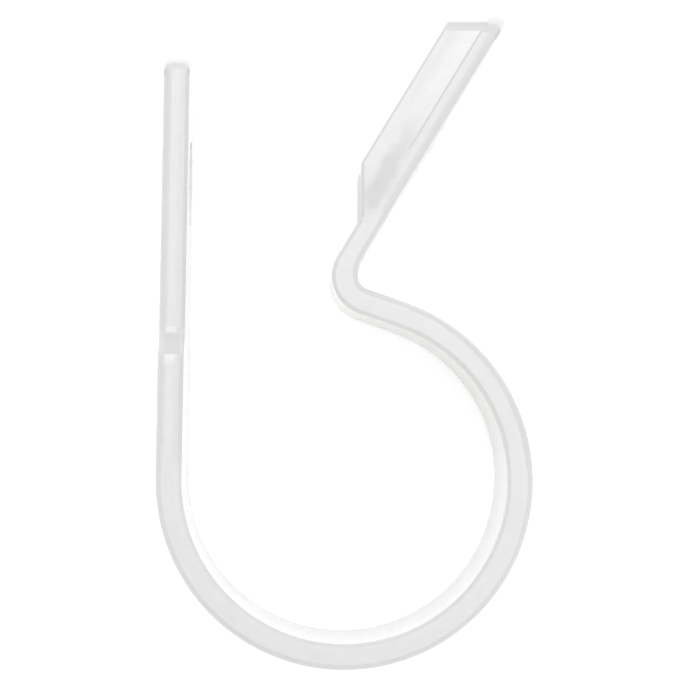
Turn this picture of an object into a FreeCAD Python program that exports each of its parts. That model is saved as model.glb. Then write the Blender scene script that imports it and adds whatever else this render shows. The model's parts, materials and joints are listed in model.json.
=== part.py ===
import FreeCAD, Part
import math
import os

# Nylon cable clamp: one moulded strap, drawn open and lying on its side.
# The origin is on the loop axis at half the strap's width, with Z across the strap and Y toward the tabs.

# Strap
strap_width = 9.5
strap_thickness = 1.32

# Cable loop
loop_bore_radius = 8.14
loop_end_angle = 70.7

# Flat tab: a straight arm that leaves the loop and narrows to a tongue
arm_lean = 1.0
arm_length = 21.16
arm_hole_along = 15.08
shoulder_along = 6.28

# Hook between the loop and the flanged tab
leg_length = 2.08
hook_inside_radius = 0.7

# Flanged tab: a thin floor with a flange up each side
tab_lean = 31.5
tab_hole_along = 6.8
tab_tip_beyond_hole = 8.02
floor_thickness = 0.92
floor_step_rise = 0.22
floor_step_radius = 0.5
floor_step_before_hole = 3.9
flange_thickness = 0.8
flange_height = 2.56
flange_end_setback = 0.2
flange_heel_before_hole = 2.27
flange_heel_radius = 2.5
flange_corner_radius = 0.5

# Fits
screw_diameter = 4.0
screw_clearance = 0.37
nest_clearance = 0.1

# Rounded edges
outer_edge_radius = 0.36
inner_edge_radius = 0.25
flange_edge_radius = 0.12
shoulder_ease = 0.06

# Share of the flange's thickness taken up by the rounded corners of the tips
tip_corner_share = 0.75

X_AXIS = FreeCAD.Vector(1, 0, 0)
Y_AXIS = FreeCAD.Vector(0, 1, 0)
Z_AXIS = FreeCAD.Vector(0, 0, 1)
ORIGIN = FreeCAD.Vector(0, 0, 0)
ACROSS = Z_AXIS * strap_width
HALF_WIDTH = ACROSS / 2


def polar(angle, radius=1.0):
    a = math.radians(angle)
    return FreeCAD.Vector(radius * math.cos(a), radius * math.sin(a), 0)


def line(start, end):
    return Part.LineSegment(start, end).toShape()


def arc(centre, radius, start_angle, end_angle):
    angles = (start_angle, (start_angle + end_angle) / 2, end_angle)
    return Part.Arc(*[centre + polar(a, radius) for a in angles]).toShape()


def sheet(edges, direction):
    return Part.Wire(edges).extrude(direction)


def prism(edges, direction):
    return Part.Face(Part.Wire(edges)).extrude(direction)


def rounded_polygon(corners):
    """Edges of a closed polygon given as pairs of corner point and corner radius."""
    trims = []
    for i, (point, radius) in enumerate(corners):
        before = (corners[i - 1][0] - point).normalize()
        after = (corners[(i + 1) % len(corners)][0] - point).normalize()
        half = before.getAngle(after) / 2
        reach = radius / math.tan(half)
        middle = point + (before + after).normalize() * (radius / math.sin(half) - radius)
        trims.append((point + before * reach, middle, point + after * reach))
    edges = []
    for i, (start, middle, end) in enumerate(trims):
        if corners[i][1] > 0:
            edges.append(Part.Arc(start, middle, end).toShape())
        edges.append(line(end, trims[(i + 1) % len(trims)][0]))
    return edges


def middle_of(edge):
    return edge.valueAt((edge.FirstParameter + edge.LastParameter) / 2)


def is_sharp(solid, edge):
    point = middle_of(edge)
    faces = solid.ancestorsOfType(edge, Part.Face)
    normals = [face.normalAt(*face.Surface.parameter(point)) for face in faces]
    return len(normals) == 2 and normals[0].cross(normals[1]).Length > 0.1


def sharp_edges(solid, surface):
    """Edges of the solid that lie on the surface and aren't smooth seams."""
    touching = [e for e in solid.Edges if surface.distToShape(Part.Vertex(middle_of(e)))[0] < 1e-4]
    return [e for e in touching if is_sharp(solid, e)]


def straight_edges(solid, direction, point, normal):
    """Straight edges of the solid along a direction, in the plane through a point square to a normal."""
    lines = [e for e in solid.Edges if e.Curve.TypeId == "Part::GeomLine"]
    parallel = [e for e in lines if e.Curve.Direction.cross(direction).Length < 1e-6]
    return [e for e in parallel if abs((middle_of(e) - point).dot(normal)) < 1e-6]


# Directions along each tab toward its tip, and across each tab
arm_along = polar(90 - arm_lean)
arm_out = polar(180 - arm_lean)
tab_along = polar(90 - tab_lean)
tab_in = polar(180 - tab_lean)

# Loop, leg and hook
loop_outer_radius = loop_bore_radius + strap_thickness
loop_start_angle = 180 - arm_lean
loop_stop_angle = 360 + loop_end_angle
loop_end = polar(loop_end_angle)
leg = polar(loop_end_angle + 90, leg_length)
hook_outside_radius = hook_inside_radius + strap_thickness
hook_start_angle = 180 + loop_end_angle
hook_stop_angle = 180 - tab_lean
hook_centre = loop_end * (loop_outer_radius + hook_inside_radius) + leg

# The strap thins along an easing arc on the open side of the hook into the neck,
# which meets the tab's floor at a step
neck_thickness = floor_thickness + floor_step_rise
tab_face_offset = hook_outside_radius - neck_thickness
lean_cosine = math.cos(math.radians(tab_lean))
ease_radius = (tab_face_offset - hook_inside_radius * lean_cosine) / (1 - lean_cosine)
ease_centre = hook_centre + X_AXIS * (ease_radius - hook_inside_radius)


def tab_point(along, height):
    """Point of the flanged tab, along it from the hook centre and up from its outer face."""
    return hook_centre + tab_along * along + tab_in * (tab_face_offset + height)


def tab_point_at_x(x, height):
    return tab_point((x - tab_point(0, height).x) / tab_along.x, height)


def tab_point_at_y(y, height):
    return tab_point((y - tab_point(0, height).y) / tab_along.y, height)


# Outer face of the strap, from the tip of the flat tab to the tip of the flanged tab
arm_foot_outer = arm_out * loop_outer_radius
arm_tip_outer = arm_foot_outer + arm_along * arm_length
leg_start_outer = loop_end * loop_outer_radius
tab_tip_outer = tab_point(tab_hole_along + tab_tip_beyond_hole, 0)
outer_profile = [
    line(arm_tip_outer, arm_foot_outer),
    arc(ORIGIN, loop_outer_radius, loop_start_angle, loop_stop_angle),
    line(leg_start_outer, leg_start_outer + leg),
    arc(hook_centre, hook_inside_radius, hook_start_angle, 180),
    arc(ease_centre, ease_radius, 180, hook_stop_angle),
    line(ease_centre + tab_in * ease_radius, tab_tip_outer),
]

# Inner face of the strap, back from the tip of the flanged tab, which is cut square to the Y axis
step_angle = math.degrees(math.acos(1 - floor_step_rise / (2 * floor_step_radius)))
step_run = 2 * floor_step_radius * math.sin(math.radians(step_angle))
step_along = tab_hole_along - floor_step_before_hole
step_top = tab_point(step_along, floor_thickness)
step_foot = tab_point(step_along - step_run, neck_thickness)
step_top_centre = step_top + tab_in * floor_step_radius
step_foot_centre = step_foot - tab_in * floor_step_radius
tab_tip_inner = tab_point_at_y(tab_tip_outer.y, floor_thickness)
leg_start_inner = loop_end * loop_bore_radius
arm_foot_inner = arm_out * loop_bore_radius
arm_tip_inner = arm_foot_inner + arm_along * arm_length
inner_profile = [
    line(tab_tip_inner, step_top),
    arc(step_top_centre, floor_step_radius, -tab_lean, -tab_lean - step_angle),
    arc(step_foot_centre, floor_step_radius, hook_stop_angle - step_angle, hook_stop_angle),
    line(step_foot, hook_centre + tab_in * hook_outside_radius),
    arc(hook_centre, hook_outside_radius, hook_stop_angle, hook_start_angle),
    line(leg_start_inner + leg, leg_start_inner),
    arc(ORIGIN, loop_bore_radius, loop_stop_angle, loop_start_angle),
    line(arm_foot_inner, arm_tip_inner),
]
tab_end = line(tab_tip_outer, tab_tip_inner)
arm_end = line(arm_tip_inner, arm_tip_outer)
strap = prism(outer_profile + [tab_end] + inner_profile + [arm_end], ACROSS)

# The flat tab narrows at a shoulder to a tongue that nests between the flanges,
# with shoulder corners a little rounder than the edges that run over them
tongue_inset = flange_thickness + nest_clearance
shoulder_radius = outer_edge_radius + shoulder_ease
beyond = 2 * strap_thickness
side_plan = [
    (shoulder_along - beyond, -beyond, 0),
    (shoulder_along + tongue_inset, tongue_inset, shoulder_radius),
    (arm_length + beyond, tongue_inset, 0),
    (arm_length + beyond, -beyond, 0),
]
plan_origin = arm_foot_inner - arm_out * strap_thickness
side_corners = [(plan_origin + arm_along * a + Z_AXIS * z, r) for a, z, r in side_plan]
side_cut = prism(rounded_polygon(side_corners), arm_out * (3 * strap_thickness))
strap = strap.cut([side_cut, side_cut.mirror(HALF_WIDTH, Z_AXIS)])

# Plan corners at the shoulders and at the two tips
tip_corner_radius = tip_corner_share * flange_thickness
shoulder_outer = arm_foot_outer + arm_along * shoulder_along
strap = strap.makeFillet(shoulder_radius, straight_edges(strap, arm_out, shoulder_outer, arm_along))
strap = strap.makeFillet(tip_corner_radius, straight_edges(strap, arm_out, arm_tip_outer, arm_along))
strap = strap.makeFillet(tip_corner_radius, straight_edges(strap, X_AXIS, tab_tip_outer, Y_AXIS))

# Side edges of the strap
strap = strap.makeFillet(outer_edge_radius, sharp_edges(strap, sheet(outer_profile, ACROSS)))
strap = strap.makeFillet(inner_edge_radius, sharp_edges(strap, sheet(inner_profile, ACROSS)))

# Flanges up the two sides of the tab, which run out at the heel into the neck
root_height = floor_thickness / 2
heel_height = neck_thickness - 1.5 * inner_edge_radius
flange_end_y = tab_tip_outer.y - flange_end_setback
rim_tip = tab_point_at_y(flange_end_y, flange_height)
rim_heel = tab_point(tab_hole_along - flange_heel_before_hole, flange_height)
heel = tab_point_at_x(rim_heel.x, heel_height)
heel_end = heel - tab_along * (flange_heel_radius * math.tan(math.radians(tab_lean)))
flange_corners = [
    (rim_tip, 0),
    (rim_heel, flange_corner_radius),
    (heel, flange_heel_radius),
    (heel_end, 0),
    (heel_end - tab_in * (heel_height - root_height), 0),
    (tab_point_at_y(flange_end_y, root_height), 0),
]
flange_profile = rounded_polygon(flange_corners)
flange_across = Z_AXIS * flange_thickness
flange = prism(flange_profile, flange_across)
end_edges = straight_edges(flange, X_AXIS, rim_tip, Y_AXIS)
outside_edges = [e for e in end_edges if middle_of(e).z < flange_thickness / 2]
flange = flange.makeFillet(tip_corner_radius, outside_edges)
rim_edges = sharp_edges(flange, sheet(flange_profile[:5], flange_across))
flange = flange.makeFillet(flange_edge_radius, rim_edges)
clamp = strap.fuse([flange, flange.mirror(HALF_WIDTH, Z_AXIS)]).removeSplitter()

# Screw holes through the two tabs
hole_radius = (screw_diameter + screw_clearance) / 2
arm_hole = arm_foot_inner + arm_along * arm_hole_along + HALF_WIDTH
tab_hole = tab_point(tab_hole_along, 0) + HALF_WIDTH
drill_length = 3 * strap_thickness
arm_drill = Part.makeCylinder(hole_radius, drill_length, arm_hole - arm_out * strap_thickness, arm_out)
tab_drill = Part.makeCylinder(hole_radius, drill_length, tab_hole - tab_in * strap_thickness, tab_in)
clamp = clamp.cut([arm_drill, tab_drill]).Solids[0]
clamp.translate(-HALF_WIDTH)

os.makedirs("parts", exist_ok=True)
clamp.exportStep("parts/cable_clamp.step")
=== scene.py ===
import json
import math
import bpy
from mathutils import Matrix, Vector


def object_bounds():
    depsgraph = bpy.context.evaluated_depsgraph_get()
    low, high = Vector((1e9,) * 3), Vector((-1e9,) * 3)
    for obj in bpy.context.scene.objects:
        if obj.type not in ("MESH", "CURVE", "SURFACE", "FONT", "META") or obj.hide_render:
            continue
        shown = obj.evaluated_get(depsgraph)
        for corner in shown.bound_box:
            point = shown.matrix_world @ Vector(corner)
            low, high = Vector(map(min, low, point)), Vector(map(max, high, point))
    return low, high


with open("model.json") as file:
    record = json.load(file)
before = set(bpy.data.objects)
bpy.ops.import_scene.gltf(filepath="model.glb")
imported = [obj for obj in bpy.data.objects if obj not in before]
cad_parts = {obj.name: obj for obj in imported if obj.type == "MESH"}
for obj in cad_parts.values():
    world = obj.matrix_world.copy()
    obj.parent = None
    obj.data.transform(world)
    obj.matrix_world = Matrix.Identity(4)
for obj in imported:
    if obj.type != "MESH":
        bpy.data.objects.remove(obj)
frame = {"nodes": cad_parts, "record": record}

from types import SimpleNamespace

import bmesh
import bpy
from mathutils import Euler, Matrix, Vector

cad_low, cad_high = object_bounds()
mounts = {mount["name"]: mount for mount in frame["record"]["mounts"]}
scene = bpy.context.scene
scene.view_settings.view_transform = "Standard"

MM = 0.001

# Tones of the nylon: its own grey on the flat sides, and painted light and shade that stand in for how
# deep the light goes into it and how it falls on it
SIDE_TONE = 0.806
# Painted light: the sides lighten from the loop toward the tips, up to this tone
LIGHTEST_LIT_SIDE_TONE = 0.838
# Painted shade on the flat sides beside the tabs' outer edges
OUTER_SIDE_SHADE_TONE = 0.755
# Painted shade on the rounded edges
EDGE_SHADE_TONE = 0.715
# Painted light on the thin walls, most inside the loop, and painted shade on walls turned back from the
# tips
WALL_LIGHT_TONE = 0.83
LOOP_WALL_LIGHT_TONE = 0.97
BACK_WALL_SHADE_TONE = 0.77
# Painted shade inside the screw holes
HOLE_SHADE_TONE = 0.66
# Painted light shining through the thin flanges, and on their inner faces
FLANGE_HEEL_LIGHT_TONE = 0.865
FLANGE_TIP_LIGHT_TONE = 0.915
FLANGE_INSIDE_LIGHT_TONE = 0.88
# Painted shade lines on the flanges' rims and heels, and where they meet the floor
RIM_SHADE_TONE = 0.68
FLOOR_LINE_SHADE_TONE = 0.70
# Painted shade of the channel, seen through the flange above its heel
CHANNEL_SHADE_TONE = 0.73
# Painted shade on the shoulder's slope and in its hollow
SHOULDER_SHADE_TONE = 0.69
HOLLOW_SHADE_TONE = 0.75
GLINT_TONE = 0.88
# Painted light on the tips, and painted shade in a band just short of each
TIP_LIGHT_TONE = 0.81
TIP_BAND_SHADE_TONE = 0.75

# Smaller changes to those tones
# Painted shade on the edges: less inside the loop, more inside the arm and outside
LOOP_INNER_EDGE_LIGHT_CHANGE = 0.09
ARM_INNER_EDGE_SHADE_CHANGE = -0.04
OUTER_EDGE_SHADE_CHANGE = -0.04
# Painted light on the arm's outer half, and painted shade on its inner half by the inner edge
ARM_OUTER_HALF_LIGHT = 0.01
ARM_INNER_HALF_SHADE = -0.045
# Painted shade on the flanges: by the heel, and toward the rim
HEEL_SHADE_CHANGE = -0.06
RIM_SHADE_BY_HEEL = -0.02
RIM_SHADE_BY_TIP = -0.065
# Painted shade: the tips' bands darken more where the surface turns away from flat
TIP_BAND_TURN_SHADE_CHANGE = -0.4
STREAK_CHANGE = 0.03
# Painted light: how fast the sides lighten toward the tips
SIDE_LIGHT_CHANGE_PER_METRE = (1.209, 2.176, 0)
# The nylon's own straw colour, laid only on walls turned back from the light: real colour placed as
# painted shade
STRAW_SHADE_BLUE_SHARE = 0.975

# Ways that a wall can face, which set where its painted light and shade fall
BACK_FROM_TIPS = (-0.25, -0.97, 0)
LOWER_LEFT = (-0.75, -0.66, 0)
UPPER_RIGHT = (0.75, 0.66, 0)
# Walls facing this way take the straw colour as painted shade
STRAW_SHADE_SIDE = (-0.4, -0.92, 0)

# Noise patterns: waves to the metre, and how far the streaks are drawn out
MOTTLE_SCALE = 1500
GRAIN_SCALE = 5000
# Size of the painted channel shade's wandering outline
CHANNEL_SHADE_SCALE = 900
STREAK_SCALE = 500
STREAK_STRETCH = 9

# Strap and its screw holes
LOOP_RADIUS = cad_high.x
HOLE_RADIUS = mounts["flat_tab_hole"]["dims"]["r_mm"] * MM
HOOK_CENTRE = (1.4 * MM, 10.3 * MM)

# Flanged tab, along it from its hole and up from its outer face
FLOOR_LINE = 0.86 * MM
FLOOR_LINE_START = -0.2 * MM
FLANGE_RIM = 2.56 * MM
FLANGE_HEEL = -3.4 * MM
FLANGE_TIP = 6.3 * MM

# Flanged tab, in the clamp's own x and y
HEEL_EDGE = 0.83 * MM
HEEL_START = 13.3 * MM
HEEL_END = 15.9 * MM
TAB_BAND_START = cad_high.y - 0.76 * MM
TAB_BAND_END = cad_high.y - 0.39 * MM

# Flat tab, along it from its hole
SHOULDER_FOOT = -8.8 * MM
SHOULDER_TOP = -7.9 * MM
ARM_BAND_START = 5.56 * MM
ARM_BAND_END = 5.78 * MM

# Tips: where their corners start and end above a tab's outer face, and how far they fall back
OUTER_CORNER = (0.55 * MM, -0.05 * MM)
INNER_CORNER = (0.9 * MM, 1.35 * MM)
OUTER_CORNER_SETBACK = 0.4 * MM
INNER_CORNER_SETBACK = 0.3 * MM
FLOOR_SETBACK = 0.1 * MM
TIP_FADE = 0.06 * MM

# Floor and light tent
FLOOR_HALF_WIDTH = 0.6
PAPER_TONE = 0.95
PAPER_LIFT = 0.4
TENT_LOW_LEVEL = 1.2
TENT_TOP_LEVEL = 0.88
TENT_LEAN = (0.1, 0.2, 0)

# Camera, with its place in metres and its turn in degrees
CAMERA_LENS = 149.4
CAMERA_NEAREST = 0.01
CAMERA_PLACE = (-0.002303, 0.003516, 0.14993)
CAMERA_TURN = (1.198, -1.017, -0.008)


def grey(tone):
    return (tone, tone, tone, 1)


class Nodes:
    """Builds the nodes of a material or of the world."""

    def __init__(self, owner):
        owner.use_nodes = True
        self.tree = owner.node_tree
        self.tree.nodes.clear()

    def put(self, kind, inputs=None, **settings):
        """A new node, with its inputs set to values or joined to other nodes' outputs."""
        made = self.tree.nodes.new(kind)
        for name, value in settings.items():
            setattr(made, name, value)
        for name, value in (inputs or {}).items():
            if isinstance(value, bpy.types.NodeSocket):
                self.tree.links.new(value, made.inputs[name])
            else:
                made.inputs[name].default_value = value
        return made

    def maths(self, operation, *values):
        return self.put("ShaderNodeMath", dict(enumerate(values)), operation=operation).outputs[0]

    def dot(self, vector, axis):
        inputs = {0: vector, 1: axis}
        return self.put("ShaderNodeVectorMath", inputs, operation="DOT_PRODUCT").outputs["Value"]

    def length(self, *sides):
        """Length of the diagonal across two sides."""
        squares = [self.maths("MULTIPLY", side, side) for side in sides]
        return self.maths("SQRT", self.maths("ADD", *squares))

    def span(self, value, low, high):
        """The value 0 to 1, spread from low to high."""
        inputs = {"Value": value, "To Min": low, "To Max": high}
        return self.put("ShaderNodeMapRange", inputs).outputs["Result"]

    def rise(self, value, start, end):
        """A mask that is 0 before start and 1 past end, with a smooth climb between."""
        inputs = {"Value": value, "From Min": start, "From Max": end}
        return self.put("ShaderNodeMapRange", inputs, interpolation_type="SMOOTHSTEP").outputs["Result"]

    def band(self, value, low, high, soft):
        """A mask that is 1 from low to high, fading to 0 over a soft margin outside them."""
        return self.every(self.rise(value, low - soft, low), self.rise(value, high + soft, high))

    def every(self, *masks):
        result = masks[0]
        for mask in masks[1:]:
            result = self.maths("MULTIPLY", result, mask)
        return result

    def either(self, one, other):
        return self.maths("MAXIMUM", one, other)

    def opposite(self, mask):
        return self.maths("SUBTRACT", 1, mask)

    def shade(self, tone, mask, new_tone):
        """The tone, turned to the new one where the mask is 1."""
        inputs = {"Factor": mask, "A": tone, "B": new_tone}
        return self.put("ShaderNodeMix", inputs, data_type="FLOAT").outputs["Result"]

    def change(self, value, mask, amount):
        """The value, with the amount added where the mask is 1."""
        return self.maths("MULTIPLY_ADD", mask, amount, value)

    def noise(self, place, scale, detail=4):
        inputs = {"Vector": place, "Scale": scale, "Detail": detail, "Roughness": 0.6}
        return self.put("ShaderNodeTexNoise", inputs).outputs["Fac"]


def tab_axes(nodes, place, mount_name):
    """Distance along a tab from its hole toward the tip, and up from its outer face toward the inside."""
    hole = mounts[mount_name]
    up = -Vector(hole["axis"])
    along = Vector((up.y, -up.x, 0))
    if along.y < 0:
        along.negate()
    start = Vector(hole["pos_m"])
    return [nodes.maths("SUBTRACT", nodes.dot(place, axis), start.dot(axis)) for axis in (along, up)]


def strap_places(nodes):
    """Where a point lies on the strap, and which way the strap faces there."""
    where = nodes.put("ShaderNodeTexCoord")
    at = SimpleNamespace(place=where.outputs["Object"], normal=where.outputs["Normal"])
    at.x, at.y, at.z = nodes.put("ShaderNodeSeparateXYZ", {0: at.place}).outputs

    # Facing is 1 on the flat sides and 0 on the walls, and outward leaves out the flanges' insides
    sideways = nodes.put("ShaderNodeSeparateXYZ", {0: at.normal}).outputs["Z"]
    at.facing = nodes.maths("ABSOLUTE", sideways)
    at.outward = nodes.rise(nodes.maths("MULTIPLY", sideways, at.z), -0.2 * MM, 0.2 * MM)
    at.side_and_edge = nodes.every(at.outward, nodes.rise(at.facing, 0.3, 0.5))

    # From_loop is above 0 where the strap faces away from the loop's middle
    at.from_loop = nodes.dot(at.normal, at.place)
    at.toward_loop = nodes.rise(at.from_loop, 0, -5 * MM)
    at.in_loop = nodes.every(at.toward_loop, nodes.rise(at.y, 14 * MM, 3 * MM))

    at.arm_along, at.arm_up = tab_axes(nodes, at.place, "flat_tab_hole")
    at.on_arm = nodes.every(nodes.rise(at.arm_up, 3 * MM, 2 * MM), nodes.rise(at.y, 0, 2 * MM))

    at.tab_along, at.tab_up = tab_axes(nodes, at.place, "flanged_tab_hole")
    past_hook = nodes.rise(at.y, 10 * MM, 11 * MM)
    at.near_tab = nodes.every(past_hook, nodes.rise(at.tab_up, 3.5 * MM, 3 * MM))
    at.on_tab = nodes.every(at.near_tab, nodes.rise(at.tab_along, FLANGE_HEEL - MM, FLANGE_HEEL))
    at.on_flange = nodes.every(at.on_tab, nodes.rise(at.tab_up, FLOOR_LINE, FLOOR_LINE + 0.1 * MM))
    at.on_floor = nodes.maths("SUBTRACT", at.on_tab, at.on_flange)
    return at


def wall_light_and_shade(nodes, at):
    """Painted light on the thin walls, most of all inside the loop, and painted shade on those turned back
    from the tips.
    """
    turned_back = nodes.rise(nodes.dot(at.normal, BACK_FROM_TIPS), 0, 0.9)
    clear_of_hook = nodes.either(nodes.rise(at.x, -0.6 * MM, 1.2 * MM), nodes.rise(at.y, 6 * MM, 4 * MM))
    tone = nodes.shade(WALL_LIGHT_TONE, at.in_loop, LOOP_WALL_LIGHT_TONE)
    return nodes.shade(tone, nodes.every(turned_back, clear_of_hook), BACK_WALL_SHADE_TONE)


def edge_shade(nodes, at):
    """Painted shade on the rounded edges: less of it inside the loop's upper right, and more outside it
    and inside the arm.
    """
    turned_in = nodes.rise(nodes.dot(at.normal, LOWER_LEFT), 0, 0.7)
    loop_inner_edge = nodes.every(at.toward_loop, turned_in, nodes.rise(at.y, 11 * MM, 10 * MM))
    tone = nodes.change(EDGE_SHADE_TONE, loop_inner_edge, LOOP_INNER_EDGE_LIGHT_CHANGE)
    arm_inner_edge = nodes.every(at.on_arm, nodes.rise(at.arm_up, 0.8 * MM, 1.1 * MM))
    tone = nodes.change(tone, arm_inner_edge, ARM_INNER_EDGE_SHADE_CHANGE)
    turned_out = nodes.rise(nodes.dot(at.normal, UPPER_RIGHT), 0.1, 0.7)
    outer_edge = nodes.every(turned_out, nodes.rise(at.from_loop, 0, 5 * MM))
    return nodes.change(tone, outer_edge, OUTER_EDGE_SHADE_CHANGE)


def in_hole(nodes, at, along):
    """Inside a screw hole, to just past its wall."""
    return nodes.rise(nodes.length(along, at.z), HOLE_RADIUS + 0.05 * MM, HOLE_RADIUS + 0.02 * MM)


def walls_and_edges_light_and_shade(nodes, at):
    """Walls and their rounded edges, with the screw holes through them: painted light on the walls, and
    painted shade on the edges and in the holes.
    """
    # Painted shade on the rounded edges, left off the inner edge at the loop's foot by the floor
    foot_of_loop = nodes.every(at.in_loop, nodes.rise(at.z, 0, -4 * MM))
    on_edge = nodes.every(at.outward, nodes.opposite(foot_of_loop), nodes.rise(at.facing, 0.05, 0.25))
    tone = nodes.shade(wall_light_and_shade(nodes, at), on_edge, edge_shade(nodes, at))
    # Painted light: the flanged tab's outer face and the edge by it take the walls' light tone
    tab_outer_face = nodes.every(at.on_floor, nodes.rise(at.tab_up, 0.4 * MM, 0.3 * MM))
    tone = nodes.shade(tone, nodes.every(tab_outer_face, nodes.rise(at.facing, 0.6, 0.5)), WALL_LIGHT_TONE)
    # Painted shade inside the screw holes
    arm_hole = nodes.every(at.on_arm, in_hole(nodes, at, at.arm_along))
    tab_hole = nodes.every(at.near_tab, in_hole(nodes, at, at.tab_along))
    return nodes.shade(tone, nodes.either(arm_hole, tab_hole), HOLE_SHADE_TONE)


def flange_light_and_shade(nodes, at):
    """Painted light through the flanges, lightening them from heel to tip, where painted shade greys them
    a little toward the rim; painted shade also darkens them by the heel.
    """
    toward_tip = nodes.rise(at.tab_along, FLANGE_HEEL, FLANGE_TIP)
    tone = nodes.shade(FLANGE_HEEL_LIGHT_TONE, toward_tip, FLANGE_TIP_LIGHT_TONE)
    toward_heel = nodes.rise(at.tab_along, -1.8 * MM, FLANGE_HEEL)
    tone = nodes.change(tone, toward_heel, HEEL_SHADE_CHANGE)
    by_tip = nodes.rise(at.tab_along, 0, 5 * MM)
    rim_shade = nodes.shade(RIM_SHADE_BY_HEEL, by_tip, RIM_SHADE_BY_TIP)
    toward_rim = nodes.rise(at.tab_up, 1.5 * MM, 2.1 * MM)
    return nodes.change(tone, toward_rim, rim_shade)


def channel_shade(nodes, at):
    """Painted shade of the channel seen through the flange above its heel, with a wandering outline."""
    wander = nodes.span(nodes.noise(at.place, CHANNEL_SHADE_SCALE), -1.2 * MM, 1.2 * MM)
    along = nodes.maths("ADD", at.tab_along, wander)
    up = nodes.change(at.tab_up, wander, 0.4)
    begins = nodes.rise(along, -4.8 * MM, -3.8 * MM)
    fades = nodes.rise(along, 3 * MM, -2.6 * MM)
    across = nodes.band(up, FLOOR_LINE + 0.2 * MM, FLOOR_LINE + 0.5 * MM, 0.55 * MM)
    return nodes.every(begins, fades, across)


def shoulder_glints(nodes, at):
    """Light spots just above and just below the shoulder's slope."""
    across = nodes.band(at.arm_up, 0.45 * MM, 0.8 * MM, 0.15 * MM)
    below = nodes.every(nodes.rise(at.arm_along, SHOULDER_FOOT - 0.75 * MM, SHOULDER_FOOT - 0.25 * MM),
                        nodes.rise(at.arm_along, SHOULDER_FOOT, SHOULDER_FOOT - 0.1 * MM))
    above = nodes.band(at.arm_along, SHOULDER_TOP, SHOULDER_TOP + 0.35 * MM, 0.15 * MM)
    return nodes.every(at.on_arm, across, nodes.either(below, above))


def streaks(nodes, at):
    """Faint streaks along the strap, from -1 to 1, with none in the hook."""
    across = nodes.maths("SUBTRACT", LOOP_RADIUS, nodes.length(at.x, at.y))
    along = nodes.maths("MULTIPLY", nodes.maths("ARCTAN2", at.y, at.x), LOOP_RADIUS)
    tabs = ((at.on_arm, at.arm_up, at.arm_along), (at.near_tab, at.tab_up, at.tab_along))
    for on_this_tab, tab_up, tab_along in tabs:
        across = nodes.shade(across, on_this_tab, tab_up)
        along = nodes.shade(along, on_this_tab, tab_along)
    drawn = {"X": nodes.maths("MULTIPLY", across, STREAK_STRETCH), "Y": along, "Z": at.z}
    drawn_place = nodes.put("ShaderNodeCombineXYZ", drawn).outputs[0]
    pattern = nodes.span(nodes.noise(drawn_place, STREAK_SCALE, detail=3), -1, 1)
    from_hook = [nodes.maths("SUBTRACT", side, centre) for side, centre in zip((at.x, at.y), HOOK_CENTRE)]
    return nodes.every(pattern, nodes.rise(nodes.length(*from_hook), 3 * MM, 5 * MM))


def side_tone_light_and_shade(nodes, at):
    """Flat sides of the strap: painted light makes them greyer round the loop than at the tips, and
    painted shade greys them along the tabs' outer edges.
    """
    # Painted light, lightening the sides toward the tips
    tone = nodes.maths("ADD", nodes.dot(at.place, SIDE_LIGHT_CHANGE_PER_METRE), SIDE_TONE)
    tone = nodes.maths("MINIMUM", tone, LIGHTEST_LIT_SIDE_TONE)
    # Painted light and shade across the arm: lighter outer half, darker inner half
    inner_half = nodes.rise(at.arm_up, 0.65 * MM, 1.1 * MM)
    across_arm_light_and_shade = nodes.shade(ARM_OUTER_HALF_LIGHT, inner_half, ARM_INNER_HALF_SHADE)
    tone = nodes.change(tone, at.on_arm, across_arm_light_and_shade)
    tone = nodes.shade(tone, at.on_flange, flange_light_and_shade(nodes, at))
    tone = nodes.shade(tone, channel_shade(nodes, at), CHANNEL_SHADE_TONE)
    # Painted shade on the flat sides beside the tabs' outer edges
    arm_edge_shade = nodes.every(at.on_arm, nodes.rise(at.arm_up, 0.5 * MM, 0.36 * MM))
    tab_edge_shade = nodes.every(at.on_floor, nodes.rise(at.tab_up, 0.54 * MM, 0.38 * MM))
    tone = nodes.shade(tone, nodes.either(arm_edge_shade, tab_edge_shade), OUTER_SIDE_SHADE_TONE)
    tone = nodes.shade(tone, shoulder_glints(nodes, at), GLINT_TONE)
    return nodes.change(tone, streaks(nodes, at), STREAK_CHANGE)


def shade_shoulder(nodes, at, tone):
    """Painted shade on the shoulder's slope, and in the hollow where its edge turns into the tongue's."""
    by_shoulder = nodes.every(at.on_arm, at.side_and_edge)
    curved = nodes.rise(at.facing, 0.999, 0.98)
    hollow = nodes.band(at.arm_along, SHOULDER_TOP - 0.1 * MM, SHOULDER_TOP + 0.25 * MM, 0.1 * MM)
    tone = nodes.shade(tone, nodes.every(by_shoulder, hollow, curved), HOLLOW_SHADE_TONE)
    slope = nodes.band(at.arm_along, SHOULDER_FOOT, SHOULDER_TOP - 0.05 * MM, 0.1 * MM)
    return nodes.shade(tone, nodes.every(by_shoulder, slope), SHOULDER_SHADE_TONE)


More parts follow.
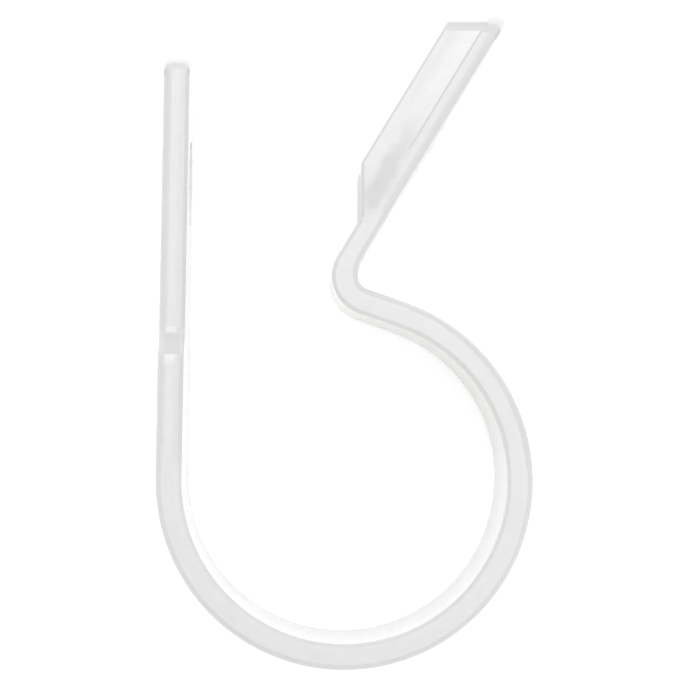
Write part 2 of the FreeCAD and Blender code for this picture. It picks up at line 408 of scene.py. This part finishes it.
def shade_flange_lines(nodes, at, tone):
    """Painted shade lines along each flange's rim, down its heel and where it meets the floor."""
    rim = nodes.every(at.on_flange, nodes.rise(at.tab_up, FLANGE_RIM - 0.16 * MM, FLANGE_RIM - 0.1 * MM))
    heel_rim = nodes.every(at.near_tab, nodes.band(at.y, HEEL_START, HEEL_END, 0.2 * MM),
                           nodes.rise(at.x, HEEL_EDGE + 0.22 * MM, HEEL_EDGE + 0.12 * MM))
    tone = nodes.shade(tone, nodes.every(at.side_and_edge, nodes.either(rim, heel_rim)), RIM_SHADE_TONE)
    line = nodes.band(at.tab_up, FLOOR_LINE - 0.02 * MM, FLOOR_LINE + 0.02 * MM, 0.05 * MM)
    begun = nodes.rise(at.tab_along, FLOOR_LINE_START - 0.4 * MM, FLOOR_LINE_START)
    return nodes.shade(tone, nodes.every(at.side_and_edge, line, begun), FLOOR_LINE_SHADE_TONE)


def round_corner(nodes, up, corner):
    """From 0 to 1 round a tip's corner, slowly and then faster."""
    return nodes.maths("POWER", nodes.rise(up, *corner), 2)


def light_and_shade_tips(nodes, at, tone):
    """Painted light on the two tips, each with a band of painted shade just short of it that follows its
    corners.
    """
    arm_outer = round_corner(nodes, at.arm_up, OUTER_CORNER)
    arm_inner = round_corner(nodes, at.arm_up, INNER_CORNER)
    arm_reach = nodes.change(at.arm_along, arm_outer, OUTER_CORNER_SETBACK)
    arm_reach = nodes.change(arm_reach, arm_inner, INNER_CORNER_SETBACK)
    tab_reach = nodes.change(at.y, nodes.rise(at.tab_up, MM, 0.6 * MM), FLOOR_SETBACK)
    tab_outer = round_corner(nodes, at.tab_up, OUTER_CORNER)
    tab_reach = nodes.change(tab_reach, tab_outer, OUTER_CORNER_SETBACK)

    arm_band = nodes.band(arm_reach, ARM_BAND_START, ARM_BAND_END, 0.15 * MM)
    tab_band = nodes.band(tab_reach, TAB_BAND_START, TAB_BAND_END, 0.08 * MM)
    shade_bands = nodes.either(nodes.every(at.on_arm, arm_band), nodes.every(at.on_tab, tab_band))
    band_shade_tone = nodes.change(TIP_BAND_SHADE_TONE, nodes.opposite(at.facing), TIP_BAND_TURN_SHADE_CHANGE)
    tone = nodes.shade(tone, nodes.every(at.side_and_edge, shade_bands), band_shade_tone)

    arm_tip = nodes.every(at.on_arm, nodes.rise(arm_reach, ARM_BAND_END, ARM_BAND_END + TIP_FADE))
    tab_tip = nodes.rise(tab_reach, TAB_BAND_END, TAB_BAND_END + TIP_FADE)
    return nodes.shade(tone, nodes.either(arm_tip, tab_tip), TIP_LIGHT_TONE)


def nylon_tone_light_and_shade(nodes, at):
    """Milky tone with painted light and shade: deep sides greyer, rounded edges darker still, and thin
    walls and flanges lighter.
    """
    flat_side = nodes.rise(at.facing, 0.96, 0.996)
    tone = nodes.shade(walls_and_edges_light_and_shade(nodes, at), flat_side, side_tone_light_and_shade(nodes, at))
    # Painted light on the flanges' inner faces
    flange_inside = nodes.every(nodes.opposite(at.outward), nodes.rise(at.facing, 0.3, 0.6))
    tone = nodes.shade(tone, flange_inside, FLANGE_INSIDE_LIGHT_TONE)
    tone = shade_shoulder(nodes, at, tone)
    tone = shade_flange_lines(nodes, at, tone)
    return light_and_shade_tips(nodes, at, tone)


def natural_nylon():
    """Milky nylon with a fine grain, mottled a little, with painted light and shade in its tone, and
    faintly straw-coloured where it turns back: its own colour, laid there as painted shade.
    """
    made = bpy.data.materials.new("natural_nylon")
    nodes = Nodes(made)
    at = strap_places(nodes)
    mottle = nodes.span(nodes.noise(at.place, MOTTLE_SCALE), 0.96, 1.04)
    tone = nodes.maths("MULTIPLY", nylon_tone_light_and_shade(nodes, at), mottle)
    # Straw colour of the nylon itself, laid only where walls turn back from the light, as painted shade
    straw = nodes.rise(nodes.dot(at.normal, STRAW_SHADE_SIDE), 0.1, 0.9)
    blue = nodes.maths("MULTIPLY", tone, nodes.span(straw, 1, STRAW_SHADE_BLUE_SHARE))
    colour = nodes.put("ShaderNodeCombineColor", {"Red": tone, "Green": tone, "Blue": blue})
    grain = nodes.noise(at.place, GRAIN_SCALE)
    bump = nodes.put("ShaderNodeBump", {"Height": grain, "Strength": 0.15, "Distance": 0.02 * MM})
    body = nodes.put("ShaderNodeBsdfPrincipled", {
        "Base Color": colour.outputs["Color"],
        "Roughness": nodes.span(grain, 0.14, 0.28),
        "Normal": bump.outputs["Normal"],
        "IOR": 1.53,
        "Subsurface Weight": 0.4,
        "Subsurface Radius": (1, 1, 1),
        "Subsurface Scale": 0.8 * MM,
    })
    nodes.put("ShaderNodeOutputMaterial", {"Surface": body.outputs["BSDF"]})
    return made


def seen_or_mirrored(nodes):
    """1 where the camera sees the surface, straight or by way of gloss or clear plastic."""
    path = nodes.put("ShaderNodeLightPath").outputs
    mirrored = nodes.either(path["Is Glossy Ray"], path["Is Transmission Ray"])
    return nodes.either(path["Is Camera Ray"], mirrored)


def white_floor():
    """White paper that keeps the shadow, lifted toward full white where it is seen or mirrored."""
    made = bpy.data.materials.new("white_floor")
    nodes = Nodes(made)
    paper = nodes.put("ShaderNodeBsdfDiffuse", {"Color": grey(PAPER_TONE)})
    lift = nodes.maths("MULTIPLY", seen_or_mirrored(nodes), PAPER_LIFT)
    glow = nodes.put("ShaderNodeEmission", {"Strength": lift})
    floor = nodes.put("ShaderNodeAddShader", {0: paper.outputs[0], 1: glow.outputs[0]})
    nodes.put("ShaderNodeOutputMaterial", {"Surface": floor.outputs[0]})
    return made


def lay_floor():
    mesh = bpy.data.meshes.new("floor")
    shape = bmesh.new()
    at_foot = Matrix.Translation((0, 0, cad_low.z))
    bmesh.ops.create_grid(shape, x_segments=1, y_segments=1, size=FLOOR_HALF_WIDTH, matrix=at_foot)
    shape.to_mesh(mesh)
    shape.free()
    mesh.materials.append(white_floor())
    made = bpy.data.objects.new("floor", mesh)
    scene.collection.objects.link(made)


def light_tent():
    """White all round, brighter low down than overhead, and brighter toward the tips."""
    scene.world = bpy.data.worlds.new("light_tent")
    nodes = Nodes(scene.world)
    direction = nodes.put("ShaderNodeTexCoord").outputs["Generated"]
    height = nodes.maths("ABSOLUTE", nodes.dot(direction, (0, 0, 1)))
    level = nodes.span(height, TENT_LOW_LEVEL, TENT_TOP_LEVEL)
    level = nodes.maths("ADD", level, nodes.dot(direction, TENT_LEAN))
    strength = nodes.shade(level, seen_or_mirrored(nodes), 1)
    sky = nodes.put("ShaderNodeBackground", {"Color": grey(1), "Strength": strength})
    nodes.put("ShaderNodeOutputWorld", {"Surface": sky.outputs[0]})


def place_camera():
    data = bpy.data.cameras.new("camera")
    data.lens = CAMERA_LENS
    data.clip_start = CAMERA_NEAREST
    made = bpy.data.objects.new("camera", data)
    made.location = CAMERA_PLACE
    made.rotation_euler = Euler([math.radians(angle) for angle in CAMERA_TURN])
    scene.collection.objects.link(made)
    scene.camera = made


clamp = frame["nodes"]["cable_clamp"]
clamp.data.materials[0] = natural_nylon()
lay_floor()
light_tent()
place_camera()
